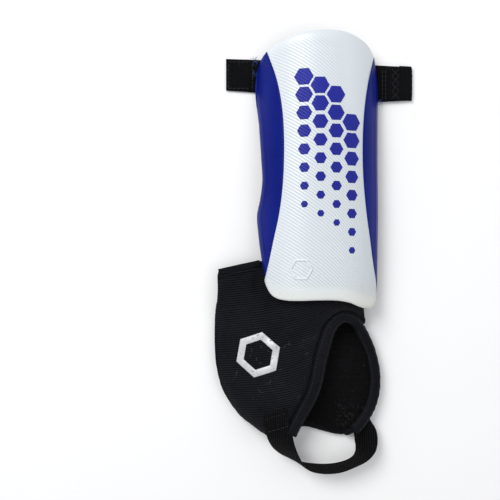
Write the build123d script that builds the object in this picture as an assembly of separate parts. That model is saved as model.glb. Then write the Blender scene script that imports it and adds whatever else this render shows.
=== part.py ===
from build123d import *
import math
import os

# Left-leg football shin guard with an attached ankle sleeve, lying on its open side.
# Millimetres. +Y points to the knee, +Z away from the leg, and z = 0 is the surface it lies on.
# The origin is on that surface, below the middle of the shell's length.

# ---- Shell: a half-round arch with a slight bow along its length ----
ARCH_RADIUS = 50.4
ARCH_CENTRE_Z = -12.4
ARCH_EDGE_Z = 7.0
BOW_RADIUS = 1500.0
SHELL_TILT = 2.3
SHELL_THICKNESS = 2.2
FOAM_THICKNESS = 4.3
LINING_THICKNESS = 1.0
FOAM_INSET = 0.975
BOW_HALF_ANGLE = 4.4

SHELL_TOP = (0, 95.2)
SHELL_RIGHT_SIDE = [(21.4, 93.9), (36.6, 87), (41.9, 80), (45, 58.8), (43.9, 5), (44, -37), (42.9, -97)]
SHELL_LOWER_EDGE = [(37.2, -104.8), (27.1, -102.8), (13.6, -98.4), (-4.8, -97.8), (-31.1, -98.1)]
SHELL_LEFT_SIDE = [(-38.3, -90.5), (-42.7, -66.8), (-45.7, -36.8), (-41.9, -12.7), (-42.6, 5.4),
                   (-46.4, 65.5), (-43.6, 77.8), (-35.5, 86.1), (-19.8, 92.2)]
INNER_BORDER = [(-38.7, 85), (-31.4, 61), (-26.6, 2), (-30.3, -38), (-37.4, -72), (-40.2, -84)]
OUTER_BORDER = [(41.1, 80.8), (35.6, 61), (30, 2), (33.3, -38), (38.8, -72), (42.5, -94)]

# ---- Honeycomb of flat-topped hexagons let into the front plate, shrinking towards the ankle ----
CELL_COLUMNS = [-12.6, -1.3, 10.0, 21.3]
CELL_PITCH = 13.0
CELL_RADIUS_TOP = 6.9
CELL_RADIUS_LOW = 2.6
CELL_COUNT = 8
CELL_TOP_Y = 61.0
CELL_SLOPE = 0.85
INLAY_DEPTH = 0.5
INLAY_PROUD = 0.12

# ---- Corners of the cutting area for the front plate, outside the guard ----
ZONE_TOP = 110
ZONE_BOTTOM = -120
ZONE_SIDE = 60

# ---- Hexagon embossed low on the front plate ----
EMBLEM_CENTRE = (-15, -75)
EMBLEM_RADIUS = 8.5
EMBLEM_RIM = 1.8

# ---- Calf strap: 25 mm elastic ----
STRAP_WIDTH = 25.0
STRAP_THICKNESS = 1.5
STRAP_CENTRE_Y = 64.5
STRAP_ROLL_RADIUS = 1.65
STRAP_ROLL_X = 70.2
STRAP_BASE_X = 47.0
STRAP_END_X = -69.0
STRAP_GAP = 0.45
STRAP_SKEW = 2.35
HOOK_LENGTH = 22.0
HOOK_THICKNESS = 0.7
LOOP_TAPE_X = -35.0
LOOP_TAPE_WIDTH = 14.0
LOOP_TAPE_THICKNESS = 1.2
ANCHOR_X = 41.2
ANCHOR_WIDTH = 8.4
ANCHOR_THICKNESS = 7.0
ANCHOR_LOW = 1.8
CLEARANCE = 0.05

# ---- Ankle sleeve: flat back layer, arched front layer ----
SLEEVE_THICKNESS = 4.8
FABRIC_THICKNESS = 1.2
PADDING_THICKNESS = 2.8
SLEEVE_ARCH_RADIUS = 121.6
SLEEVE_ARCH_X = -15.0
SLEEVE_CROWN_Z = 22.0
SLEEVE_FLOOR_GAP = 0.15
COLLAR_TOP_Y = -70.5
COLLAR_END_Y = -98.0
COLLAR_SIDE = [(-76.5, COLLAR_END_Y), (-74.7, -77), (-44, COLLAR_TOP_Y)]
COLLAR_FRONT_X = -38
COLLAR_BACK_X = (31, 33)
BAND_THICKNESS = 1.5
BAND_LENGTH = 24.5
BAND_WIDTH = 72.0
HEM_TAPE = [(-74.4, -77.2), (-48, -71.6), (-48, -75.8), (-74.6, -81.4)]
HEM_TAPE_THICKNESS = 0.6
HEM_ROWS = [((-73.5, -83.2), (-48.5, -77.9)), ((-73.5, -86.2), (-48.5, -80.9))]
SLEEVE_START_Y = -107.5
SLEEVE_REACH = 110.0
BACK_START_Y = -108.5

LOBE_SIDE = [(-77, SLEEVE_START_Y), (-78, -133), (-72.5, -166), (-59, -187), (-39, -201), (-20.4, -198.6)]
OPENING_EDGE = [(-20.4, -198.6), (-17, -188), (-6, -165), (-2, -149), (3, -131), (8, -113), (12.5, -108.6)]
OUTER_LIMB = [(20, -108.4), (31, -117), (39.6, -130), (45, -143), (47.4, -163), (45, -175), (35, -195),
              (24, -201)]
OPENING_INSIDE = [(22, -193), (36.7, -172), (38.9, -163), (36.5, -146), (31.5, -134), (24, -121),
                  (17, -116), (11.5, -122), (9, -133), (4, -151), (0, -167), (-5, -180), (-14, -198)]
BINDING_EXTRA = 0.4
HEEL_EDGE = [(-10, -194), (4, -198)]
HEEL_BAND = [(-20.4, -206), (30, -206), (30, -194), (4, -192), (-10, -188), (-20.4, -192)]
DISC_CENTRE = (-45, -158)
DISC_RADIUS = 15.0

BADGE_CENTRE = (-45, -139)
BADGE_RADIUS = 17.0
BADGE_RIM = 5.0
BADGE_TURN = 20.0
BADGE_THICKNESS = 0.5

# ---- Stirrup that passes under the foot ----
STIRRUP_HEIGHT = 20.0
STIRRUP_THICKNESS = 1.6
STIRRUP_PATH = [(-29, -205), (7.5, -225.6), (44.5, -208)]
STIRRUP_END_HEIGHT = 4.0
STIRRUP_TAPER = 12.0
TAB_THICKNESS = 1.2
INNER_TAB_CENTRE = (-31.6, -188.8)
INNER_TAB_SIZE = (18, 17)
INNER_TAB_TURN = 16
OUTER_TAB_CENTRE = (32, -190)
OUTER_TAB_SIZE = (11, 10)
OUTER_TAB_TURN = -35

# ---- Stitches ----
STITCH_LENGTH = 2.2
STITCH_WIDTH = 0.6
STITCH_HEIGHT = 0.3
STITCH_PITCH = 3.4
STITCH_MARGIN = 2.0
STRAP_ROWS_X = [49.0, 51.5]

REACH = 400.0


# ================= helpers =================

def save(name, shape):
    """Write one sub-part to its own file."""
    export_step(Compound(label=name, children=list(shape.solids())), f"parts/{name}.step")


def prism(face, low=-5.0, high=80.0):
    """Upright prism on a plan outline."""
    return extrude(Pos(0, 0, low) * face, amount=high - low)


def plan_face(*edges):
    """Plan face from edges that meet end to end."""
    return make_face(ShapeList(edges).edges())


def polygon_face(points):
    """Plan face with straight sides."""
    return make_face(Polyline(*points, close=True))


def above(level):
    """Everything above a height."""
    return Pos(0, 0, level + REACH / 2) * Box(2 * REACH, 2 * REACH, REACH)


def tilt(shape):
    """Lay the shell down at the angle it rests at, with its lower end raised by the sleeve."""
    return Rot(X=-SHELL_TILT) * shape


# ================= shell =================

def arch_wall(outer_radius, inner_radius):
    """Bowed arch wall between two radii, open below, before it is cut to an outline."""
    ring = Circle(outer_radius) - Circle(inner_radius)
    section = Plane.XZ * (Pos(0, ARCH_CENTRE_Z) * ring)
    crown = ARCH_CENTRE_Z + ARCH_RADIUS
    bow_axis = Axis((0, 0, crown - BOW_RADIUS), (1, 0, 0))
    start = section.rotate(bow_axis, -BOW_HALF_ANGLE)
    wall = revolve(start, axis=bow_axis, revolution_arc=2 * BOW_HALF_ANGLE)
    return wall & above(ARCH_EDGE_Z)


def shell_outline():
    """Plan outline of the guard."""
    right = Spline(SHELL_TOP, *SHELL_RIGHT_SIDE, *SHELL_LOWER_EDGE, tangents=[(1, 0), (-1, 0)])
    corner = Line(SHELL_LOWER_EDGE[-1], SHELL_LEFT_SIDE[0])
    left = Spline(*SHELL_LEFT_SIDE, SHELL_TOP, tangents=[(-0.35, 1), (1, 0)])
    return plan_face(right, corner, left)


def front_zone():
    """Plan area of the front plate, between the two side wings."""
    inner_top, inner_low = INNER_BORDER[0], INNER_BORDER[-1]
    outer_top, outer_low = OUTER_BORDER[0], OUTER_BORDER[-1]
    return plan_face(
        Spline(*INNER_BORDER),
        Polyline(inner_low, (-ZONE_SIDE, inner_low[1]), (-ZONE_SIDE, ZONE_BOTTOM), (ZONE_SIDE, ZONE_BOTTOM),
                 (ZONE_SIDE, outer_low[1]), outer_low),
        Spline(*reversed(OUTER_BORDER)),
        Polyline(outer_top, (ZONE_SIDE, outer_top[1]), (ZONE_SIDE, ZONE_TOP), (-ZONE_SIDE, ZONE_TOP),
                 (-ZONE_SIDE, inner_top[1]), inner_top),
    )


def cell_faces():
    """Hexagons in upright columns, every other column half a pitch lower, the field falling to the right."""
    faces = []
    first_x = CELL_COLUMNS[0]
    for column, x in enumerate(CELL_COLUMNS):
        steps_down = round(CELL_SLOPE * (x - first_x) / CELL_PITCH - (column % 2) / 2)
        top_y = CELL_TOP_Y - (steps_down + (column % 2) / 2) * CELL_PITCH
        for row in range(CELL_COUNT):
            along = row / (CELL_COUNT - 1)
            radius = CELL_RADIUS_TOP + along * (CELL_RADIUS_LOW - CELL_RADIUS_TOP)
            faces.append(Pos(x, top_y - row * CELL_PITCH) * RegularPolygon(radius, 6))
    return faces


def hexagon_ring(centre, radius, rim, turn=0.0):
    """Plan face of a hexagonal frame."""
    ring = RegularPolygon(radius, 6) - RegularPolygon(radius - rim, 6)
    return Pos(*centre) * Rot(Z=turn) * ring


def shell_parts():
    """Front plate, two wings, honeycomb, emblem, foam and lining, all level."""
    outline = shell_outline()
    shell = arch_wall(ARCH_RADIUS, ARCH_RADIUS - SHELL_THICKNESS) & prism(outline)
    zone = prism(front_zone())
    wings = shell - zone
    inlay_wall = arch_wall(ARCH_RADIUS + INLAY_PROUD, ARCH_RADIUS - INLAY_DEPTH)
    cells = Part() + [inlay_wall & prism(face) for face in cell_faces()]
    emblem_face = hexagon_ring(EMBLEM_CENTRE, EMBLEM_RADIUS, EMBLEM_RIM)
    emblem = inlay_wall & prism(emblem_face)
    backing = prism(scale(outline, by=(FOAM_INSET, FOAM_INSET, 1)))
    foam_radius = ARCH_RADIUS - SHELL_THICKNESS
    lining_radius = foam_radius - FOAM_THICKNESS
    right_half = Pos(REACH / 2, 0, 0) * Box(REACH, REACH, REACH)
    return {
        "front_plate": (shell & zone) - cells - emblem,
        "side_wing_inner": wings - right_half,
        "side_wing_outer": wings & right_half,
        "honeycomb_cells": cells,
        "hexagon_emblem": emblem,
        "backing_foam": arch_wall(foam_radius, lining_radius) & backing,
        "backing_lining": arch_wall(lining_radius, lining_radius - LINING_THICKNESS) & backing,
    }


def lining_inside_radius():
    """Radius of the guard's inner face."""
    return ARCH_RADIUS - SHELL_THICKNESS - FOAM_THICKNESS - LINING_THICKNESS


def loop_patch():
    """Loop tape sewn inside the inner edge, where the strap closes."""
    radius = lining_inside_radius()
    wall = arch_wall(radius, radius - LOOP_TAPE_THICKNESS)
    return wall & (Pos(LOOP_TAPE_X, STRAP_CENTRE_Y) * Box(LOOP_TAPE_WIDTH, STRAP_WIDTH + 4, REACH))


def collar_band():
    """Band of sleeve fabric sewn inside the guard's lower end."""
    radius = lining_inside_radius()
    wall = arch_wall(radius, radius - BAND_THICKNESS)
    return wall & (Pos(0, COLLAR_TOP_Y - BAND_LENGTH / 2) * Box(BAND_WIDTH, BAND_LENGTH, REACH))


# ================= collar: the sleeve's upper edge, fixed to the guard =================

def collar_flap():
    """Front layer of the sleeve beside the guard's lower end."""
    face = polygon_face([*COLLAR_SIDE, (COLLAR_FRONT_X, COLLAR_TOP_Y), (COLLAR_FRONT_X, COLLAR_END_Y)])
    low = SLEEVE_THICKNESS + SLEEVE_FLOOR_GAP
    return prism(face, low, low + SLEEVE_THICKNESS)


def collar_back():
    """Back layer of the sleeve behind the guard's lower end."""
    face = polygon_face([*COLLAR_SIDE, (COLLAR_BACK_X[0], COLLAR_TOP_Y), (COLLAR_BACK_X[1], COLLAR_END_Y)])
    return prism(face, 0, SLEEVE_THICKNESS)


def hem_tape():
    """Tape over the flap's upper hem."""
    low = 2 * SLEEVE_THICKNESS + SLEEVE_FLOOR_GAP
    return prism(polygon_face(HEM_TAPE), low, low + HEM_TAPE_THICKNESS)


# ================= strap =================

def strap_anchor():
    """Folded webbing that fills the wedge under the outer edge and holds the strap."""
    block = Box(ANCHOR_WIDTH, STRAP_WIDTH + 2, ANCHOR_THICKNESS)
    top = ARCH_EDGE_Z - CLEARANCE
    return tilt(Pos(ANCHOR_X, STRAP_CENTRE_Y, top - ANCHOR_THICKNESS / 2) * block) & above(ANCHOR_LOW)


def strap_slab(x_low, x_high, z_low, thickness):
    """Flat run of strap."""
    centre = Pos((x_low + x_high) / 2, STRAP_CENTRE_Y, z_low + thickness / 2)
    return centre * Box(x_high - x_low, STRAP_WIDTH, thickness)


def strap_base():
    """Run of strap from the guard's outer edge to the fold."""
    z_low = 2 * STRAP_ROLL_RADIUS - STRAP_THICKNESS
    return strap_slab(STRAP_BASE_X, STRAP_ROLL_X - STRAP_ROLL_RADIUS - STRAP_GAP, z_low, STRAP_THICKNESS)


def skew(shape):
    """Turn part of the strap about its fold, so that it crosses under the guard at a slight angle."""
    fold = Pos(STRAP_ROLL_X, STRAP_CENTRE_Y)
    return fold * Rot(Z=-STRAP_SKEW) * fold.inverse() * shape


def strap_tail():
    """Rest of the strap, lying under the guard, with the fold as a round roll."""
    roll = Pos(STRAP_ROLL_X, STRAP_CENTRE_Y, STRAP_ROLL_RADIUS) * Rot(X=90)
    roll = roll * Cylinder(STRAP_ROLL_RADIUS, STRAP_WIDTH)
    slab = skew(strap_slab(STRAP_END_X, STRAP_ROLL_X, 0, STRAP_THICKNESS))
    return (slab + roll) - hook_patch()


def hook_patch():
    """Hook tape let into the lower face of the strap's free end."""
    return skew(strap_slab(STRAP_END_X, STRAP_END_X + HOOK_LENGTH, 0, HOOK_THICKNESS))


# ================= ankle sleeve =================

def sleeve_wall(outer_radius, inner_radius):
    """Arched layer of the sleeve between two radii."""
    ring = Circle(outer_radius) - Circle(inner_radius)
    section = Plane.XZ * (Pos(SLEEVE_ARCH_X, SLEEVE_CROWN_Z - SLEEVE_ARCH_RADIUS) * ring)
    wall = Pos(0, COLLAR_END_Y) * extrude(section, amount=SLEEVE_REACH)
    return wall & above(SLEEVE_THICKNESS + SLEEVE_FLOOR_GAP)


def lobe_face():
    """Plan of the padded front layer, left of the instep opening."""
    return plan_face(
        Spline(*LOBE_SIDE),
        Spline(*OPENING_EDGE),
        Line(OPENING_EDGE[-1], (OPENING_EDGE[-1][0], SLEEVE_START_Y)),
        Line((OPENING_EDGE[-1][0], SLEEVE_START_Y), LOBE_SIDE[0]),
    )


def binding_face():
    """Plan of the binding round the instep opening, with the outer limb."""
    return plan_face(
        Spline(*OPENING_EDGE),
        Line(OPENING_EDGE[-1], OUTER_LIMB[0]),
        Spline(*OUTER_LIMB),
        Line(OUTER_LIMB[-1], OPENING_INSIDE[0]),
        Spline(*OPENING_INSIDE),
        Line(OPENING_INSIDE[-1], OPENING_EDGE[0]),
    )


def back_face():
    """Plan of the back layer."""
    return plan_face(
        Spline(*LOBE_SIDE),
        Polyline(LOBE_SIDE[-1], *HEEL_EDGE, OUTER_LIMB[-1]),
        Spline(*reversed(OUTER_LIMB)),
        Line(OUTER_LIMB[0], (OUTER_LIMB[0][0], SLEEVE_START_Y)),
        Line((OUTER_LIMB[0][0], SLEEVE_START_Y), LOBE_SIDE[0]),
    )


def padded_layers(prefix, layer, outline, disc):
    """Fabric, padding with its ankle disc, and lining, stacked outside to inside."""
    padding_low = FABRIC_THICKNESS
    lining_low = FABRIC_THICKNESS + PADDING_THICKNESS
    padding = layer(padding_low, lining_low) & outline
    return {
        f"{prefix}_fabric": layer(0, padding_low) & outline,
        f"{prefix}_padding": padding - disc,
        f"{prefix}_ankle_disc": padding & disc,
        f"{prefix}_lining": layer(lining_low, SLEEVE_THICKNESS) & outline,
    }


def front_layer(outside, inside):
    """Arched layer at two depths below the sleeve's outer face."""
    return sleeve_wall(SLEEVE_ARCH_RADIUS - outside, SLEEVE_ARCH_RADIUS - inside)


def back_layer(outside, inside):
    """Flat layer at two heights above the surface, cut clear of the collar."""
    sheet = Pos(0, 0, (outside + inside) / 2) * Box(REACH, REACH, inside - outside)
    return sheet & (Pos(0, BACK_START_Y - REACH / 2, 0) * Box(REACH, REACH, REACH))


def sleeve_parts():
    """Front and back of the sleeve with their bindings."""
    disc = Pos(*DISC_CENTRE) * Cylinder(DISC_RADIUS, REACH)
    heel_band = prism(polygon_face(HEEL_BAND))
    back_outline = prism(back_face()) - heel_band
    parts = padded_layers("sleeve_front", front_layer, prism(lobe_face()), disc)
    parts.update(padded_layers("sleeve_back", back_layer, back_outline, disc))
    binding_wall = front_layer(-BINDING_EXTRA, SLEEVE_THICKNESS)
    parts["opening_binding"] = binding_wall & prism(binding_face())
    heel = prism(back_face()) & heel_band
    parts["heel_binding"] = back_layer(0, SLEEVE_THICKNESS) & heel
    badge_wall = front_layer(-BADGE_THICKNESS, 0)
    parts["ankle_badge"] = badge_wall & prism(hexagon_ring(BADGE_CENTRE, BADGE_RADIUS, BADGE_RIM, BADGE_TURN))
    return parts


# ================= stirrup =================

def stirrup_tab_inner():
    """End of the stirrup webbing, sewn on top of the lobe."""
    patch = Pos(*INNER_TAB_CENTRE) * Rot(Z=INNER_TAB_TURN) * Rectangle(*INNER_TAB_SIZE)
    return front_layer(-TAB_THICKNESS, 0) & prism(patch)


def stirrup_tab_outer():
    """Other end, sewn between the outer limb and the back layer."""
    patch = Pos(*OUTER_TAB_CENTRE) * Rot(Z=OUTER_TAB_TURN) * Rectangle(*OUTER_TAB_SIZE)
    low = SLEEVE_THICKNESS + SLEEVE_FLOOR_GAP
    return prism(patch, low, low + TAB_THICKNESS) - front_layer(-BINDING_EXTRA, SLEEVE_THICKNESS)


def stirrup_webbing():
    """Loop of webbing standing on its edge, narrowing to the two sewn ends."""
    path = ThreePointArc(*STIRRUP_PATH)
    outer, inner = path.radius, path.radius - STIRRUP_THICKNESS
    section = polygon_face([(outer, 0), (outer, STIRRUP_HEIGHT), (inner, STIRRUP_HEIGHT), (inner, 0)])
    ring = Pos(path.arc_center.X, path.arc_center.Y) * revolve(Plane.XZ * section, axis=Axis.Z)
    wall = ring & prism(polygon_face([STIRRUP_PATH[0], STIRRUP_PATH[-1], (80, -260), (-60, -260)]))
    middle = STIRRUP_HEIGHT / 2
    end_half = STIRRUP_END_HEIGHT / 2
    start = STIRRUP_PATH[0][1] + 1
    full = start - STIRRUP_TAPER
    side = [(start, middle - end_half), (full, 0), (-240, 0), (-240, STIRRUP_HEIGHT),
            (full, STIRRUP_HEIGHT), (start, middle + end_half)]
    profile = extrude(Plane.YZ * polygon_face(side), amount=REACH / 2, both=True)
    return wall & profile


# ================= stitches =================

def stitch_run(start, end, height):
    """Row of raised stitches on a level face."""
    length = math.dist(start, end)
    turn = math.degrees(math.atan2(end[1] - start[1], end[0] - start[0]))
    count = int(length / STITCH_PITCH)
    stitches = Part()
    for i in range(count):
        along = (i + 0.5) / count
        x = start[0] + along * (end[0] - start[0])
        y = start[1] + along * (end[1] - start[1])
        place = Pos(x, y, height + STITCH_HEIGHT / 2) * Rot(Z=turn)
        stitches += place * Box(STITCH_LENGTH, STITCH_WIDTH, STITCH_HEIGHT)
    return stitches


def hem_stitches():
    """Two rows along the flap's hem, below the tape."""
    height = 2 * SLEEVE_THICKNESS + SLEEVE_FLOOR_GAP
    return Part() + [stitch_run(a, b, height) for a, b in HEM_ROWS]


def strap_base_stitches():
    """Rows that hold the strap beside the guard."""
    low = STRAP_CENTRE_Y - STRAP_WIDTH / 2 + STITCH_MARGIN
    high = STRAP_CENTRE_Y + STRAP_WIDTH / 2 - STITCH_MARGIN
    top = 2 * STRAP_ROLL_RADIUS
    return Part() + [stitch_run((x, low), (x, high), top) for x in STRAP_ROWS_X]


def hook_stitches():
    """Box of stitches through the strap's free end."""
    low = STRAP_CENTRE_Y - STRAP_WIDTH / 2 + STITCH_MARGIN
    high = STRAP_CENTRE_Y + STRAP_WIDTH / 2 - STITCH_MARGIN
    left = STRAP_END_X + STITCH_MARGIN
    right = STRAP_END_X + HOOK_LENGTH - STITCH_MARGIN
    rows = [((left + 1, low), (right - 1, low)), ((left + 1, high), (right - 1, high)),
            ((left, low + 1), (left, high - 1)), ((right, low + 1), (right, high - 1))]
    return skew(Part() + [stitch_run(a, b, STRAP_THICKNESS) for a, b in rows])


# ================= build =================

os.makedirs("parts", exist_ok=True)

for name, shape in shell_parts().items():
    save(name, tilt(shape))
save("loop_patch", tilt(loop_patch()))
save("collar_band", tilt(collar_band()))
save("collar_flap", collar_flap())
save("collar_back", collar_back())
save("hem_tape", hem_tape())
save("hem_stitches", hem_stitches())
save("strap_anchor", strap_anchor())

save("strap_base", strap_base())
save("strap_base_stitches", strap_base_stitches())
save("strap_tail", strap_tail())
save("hook_patch", hook_patch())
save("hook_stitches", hook_stitches())

for name, shape in sleeve_parts().items():
    save(name, shape)
save("stirrup_tab_inner", stirrup_tab_inner())
save("stirrup_tab_outer", stirrup_tab_outer())
save("stirrup_webbing", stirrup_webbing())
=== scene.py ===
import math
import random

import bmesh
import bpy
import numpy as np
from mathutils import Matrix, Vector
from mathutils.bvhtree import BVHTree


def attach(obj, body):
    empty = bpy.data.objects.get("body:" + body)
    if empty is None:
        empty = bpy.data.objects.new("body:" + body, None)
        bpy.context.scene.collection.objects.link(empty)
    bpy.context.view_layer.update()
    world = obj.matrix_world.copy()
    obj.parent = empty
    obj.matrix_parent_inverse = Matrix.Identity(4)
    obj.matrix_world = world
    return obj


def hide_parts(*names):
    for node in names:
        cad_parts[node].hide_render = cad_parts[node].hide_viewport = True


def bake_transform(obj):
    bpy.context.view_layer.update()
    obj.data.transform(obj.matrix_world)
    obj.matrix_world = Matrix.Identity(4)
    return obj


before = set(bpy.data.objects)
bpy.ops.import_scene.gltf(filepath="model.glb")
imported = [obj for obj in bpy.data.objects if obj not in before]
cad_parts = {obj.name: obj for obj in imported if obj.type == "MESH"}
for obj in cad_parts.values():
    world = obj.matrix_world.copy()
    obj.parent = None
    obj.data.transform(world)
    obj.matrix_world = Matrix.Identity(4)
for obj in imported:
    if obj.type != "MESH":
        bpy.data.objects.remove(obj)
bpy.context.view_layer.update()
random.seed(7)

# All shapes below are written in millimetres, in the frame's own axes, and scaled once in make_mesh.
MM = 0.001

# ---- Shell: the same arch as the CAD, plan outline clockwise from the top ----
ARCH_RADIUS = 50.4
ARCH_CENTRE_Z = -12.4
ARCH_EDGE_Z = 7.0
BOW_AXIS_Z = ARCH_CENTRE_Z + ARCH_RADIUS - 1500.0
TILT = math.radians(2.3)
SHELL_THICKNESS = 2.2
FOAM_THICKNESS = 4.3
LINING_THICKNESS = 1.0
SHELL_INSIDE_RADIUS = ARCH_RADIUS - SHELL_THICKNESS - FOAM_THICKNESS - LINING_THICKNESS

LEFT_SIDE = [(-90.5, -38.3), (-66.8, -42.7), (-48.9, -44.9), (-36.8, -45.7), (-24.7, -43.4),
             (-12.7, -41.9), (5.4, -42.6), (29.4, -44.1), (65.5, -46.4), (77.8, -43.6), (81.5, -41.4),
             (84.4, -38.6)]
RIGHT_SIDE = [(-97, 42.9), (-73, 43.3), (-37, 44.0), (5, 43.9), (47.5, 44.8), (58.8, 45.0), (80, 41.9)]
TOP_EDGE = [(-43.6, 77.8), (-40.6, 82.6), (-35.5, 86.1), (-28.5, 89.4), (-19.8, 92.2), (-11.4, 94.1),
            (0, 95.2), (12, 95.2), (21.4, 93.9), (29.6, 91.1), (36.6, 87), (41.9, 80)]
LOW_EDGE = [(-42, -80), (-38.3, -90.5), (-35.2, -95), (-31.1, -97.3), (-26, -98.2), (-16, -98.3),
            (-4.8, -97.8), (13.6, -98.4), (20.1, -99.8), (27.1, -102.8), (33.4, -104.6), (37.2, -104.8),
            (41.1, -102.6), (42.9, -97)]
INNER_BORDER = [(-84, -40.2), (-72, -37.4), (-55, -33.9), (-38, -30.3), (2, -26.6), (61, -31.4), (85, -38.7)]
OUTER_BORDER = [(-94, 42.5), (-84, 41.3), (-72, 38.8), (-55, 36.1), (-38, 33.3), (2, 30), (61, 35.6),
                (80.8, 41.1)]
INNER_WING_ENDS = (-84.0, 84.4)
OUTER_WING_ENDS = (-94.0, 80.8)
SEAM_DEPTH = 0.30
EMBLEM_CENTRE = (-15, -76)
EMBLEM_RADIUS = 8.5
EMBLEM_RIM = 1.8

# ---- Backing ----
BACKING_INSET = 0.975
QUILT_PITCH = 22
LOOP_TAPE_THICKNESS = 1.1

# ---- Moulded ribs: arcs about a point left of the shell, measured round the arch ----
RIB_ARC_RADIUS = 170.0
RIB_ARC_CENTRE = -107.5
RIB_PITCH = 2.5
RIB_HEIGHT = 0.42
RIB_STATIONS = [0.0, 0.07, 0.16, 0.3, 0.5, 0.7, 0.84, 0.93]

# ---- Honeycomb, as in the CAD ----
CELL_COLUMNS = [-12.6, -1.3, 10.0, 21.3]
CELL_PITCH = 13.0
CELL_RADIUS_TOP = 6.9
CELL_RADIUS_LOW = 2.6
CELL_COUNT = 8
CELL_TOP_Y = 61.0
CELL_SLOPE = 0.85
CELL_PROUD = 0.14
CELL_THICKNESS = 0.6

# ---- Sleeve ----
SLEEVE_RADIUS = 121.6
SLEEVE_X = -15.0
SLEEVE_CROWN_Z = 22.0
SLEEVE_LAYER = 4.8
SLEEVE_STEP = 1.5
SLEEVE_VOXEL = 1.8
BACK_LAYER_LOW = 0.9
BACK_LAYER_TOP = 3.0
EDGE_FOLD_Z = 4.7
CLOTH_FRAMES = 20
CLOTH_CAP = 1.2
SEAM_SETBACK = 5.0
LOBE_SIDE = [(-74.6, -77), (-75.8, -92), (-77.3, -112), (-78, -133), (-76.5, -151), (-72.5, -166),
             (-67, -176), (-59, -187), (-49, -194), (-39, -200), (-29, -200.5), (-19, -198.4)]
OUTER_LIMB = [(20, -107), (31, -117), (39.6, -130), (45, -143), (47.4, -160), (45.4, -175), (41, -186),
              (35, -195), (24, -201)]
BINDING_PATH = [(-20.8, -197), (-17, -189), (-11.9, -179.5), (-6.2, -169), (-2.3, -158), (0.2, -145),
                (3.9, -131), (8.6, -118.5), (16.4, -111.6), (25.2, -114), (30.5, -119.5), (36.2, -129.5),
                (41.0, -143), (43.2, -158), (41.8, -172), (38, -182), (32.5, -190), (26.5, -196)]
BINDING_STEPS = 260
BINDING_WIDTHS = [(0, 8.0), (0.4, 8.6), (0.5, 7.2), (0.6, 7.0), (1, 7.4)]
HEEL_PATH = [(-21, -196.5), (-10, -192.8), (4, -196), (15, -198.6), (25, -198.4)]
HEEL_BINDING_Z = 2.5
HEEL_LINING_LOW = 3.6
HEEL_LINING_TOP = 5.6
HEM_PATH = [(-74.2, -78.8), (-65, -76.7), (-56, -74.7), (-43.5, -72.0)]
HEM_Z = 9.6
HEM_SEAM = [(-76, -83.6), (-48, -77.8)]
TAB_SEAM = [(-43, -180), (-30, -176.5), (-17, -178)]
BADGE_CENTRE = (-45, -139)
BADGE_RADIUS = 17
BADGE_RIM = 5
BADGE_TURN = math.radians(20)

# ---- Strap and stirrup ----
STRAP_THICKNESS = 1.5
FOLD_X = 70.2
FOLD_RADIUS = 0.9
STRAP_END_X = -69.0
HOOK_PITCH = 1.15
WEBBING_THICKNESS = 1.5
WEBBING_RIBS = 11

# ---- Camera and lights: place, size and power of each light ----
CAMERA_PLACE = (-0.0509, -0.0623, 0.5)
CAMERA_LENS = 47.376
FLOOR_HALF = 4000
FLOOR_Z = -0.3
SKY_COLOUR = (0.97, 0.98, 1.0, 1.0)
SKY_STRENGTH = 0.58
LIGHTS = {"key": ((-0.55, 0.45, 0.9), 0.6, 8.6), "fill": ((0.7, -0.2, 0.8), 0.9, 1.7)}
LIT_POINT = (0, -0.06, 0)


# ================= curves and meshes =================

def smooth_curve(points):
    """Smooth function through (input, output) pairs in rising order of input."""
    inputs = np.array([p[0] for p in points], float)
    outputs = np.array([p[1] for p in points], float)
    slopes = np.gradient(outputs, inputs)

    def at(value):
        value = np.clip(value, inputs[0], inputs[-1])
        i = np.clip(np.searchsorted(inputs, value) - 1, 0, len(inputs) - 2)
        span = inputs[i + 1] - inputs[i]
        t = (value - inputs[i]) / span
        return ((2 * t**3 - 3 * t**2 + 1) * outputs[i] + (t**3 - 2 * t**2 + t) * span * slopes[i]
                + (3 * t**2 - 2 * t**3) * outputs[i + 1] + (t**3 - t**2) * span * slopes[i + 1])
    return at


def smooth_path(points, steps):
    """Points evenly spaced in parameter along a smooth line through the given points."""
    knots = np.arange(len(points))
    along = np.linspace(0, len(points) - 1, steps)
    columns = []
    for k in range(len(points[0])):
        columns.append(smooth_curve(list(zip(knots, [p[k] for p in points])))(along))
    return np.stack(columns, 1)


def make_mesh(name, vertices, faces):
    """Mesh object from millimetre points, with doubled points merged."""
    mesh = bpy.data.meshes.new(name)
    mesh.from_pydata([tuple(v) for v in np.asarray(vertices, float) * MM], [], faces)
    work = bmesh.new()
    work.from_mesh(mesh)
    bmesh.ops.remove_doubles(work, verts=work.verts, dist=0.004 * MM)
    bmesh.ops.dissolve_degenerate(work, edges=work.edges, dist=0.002 * MM)
    bmesh.ops.recalc_face_normals(work, faces=work.faces)
    work.to_mesh(mesh)
    work.free()
    mesh.polygons.foreach_set("use_smooth", [True] * len(mesh.polygons))
    piece = bpy.data.objects.new(name, mesh)
    bpy.context.scene.collection.objects.link(piece)
    return piece


def block_faces(rows, columns):
    """Faces of a closed slab made of an upper and a lower grid of the same size."""
    lower = rows * columns
    faces = []
    for i in range(rows - 1):
        for j in range(columns - 1):
            a, b = i * columns + j, i * columns + j + 1
            c, d = b + columns, a + columns
            faces.append((a, b, c, d))
            faces.append((lower + d, lower + c, lower + b, lower + a))
    rim = [j for j in range(columns)]
    rim += [i * columns + columns - 1 for i in range(1, rows)]
    rim += [(rows - 1) * columns + j for j in range(columns - 2, -1, -1)]
    rim += [i * columns for i in range(rows - 2, 0, -1)]
    for a, b in zip(rim, rim[1:] + rim[:1]):
        faces.append((b, a, lower + a, lower + b))
    return faces


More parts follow.
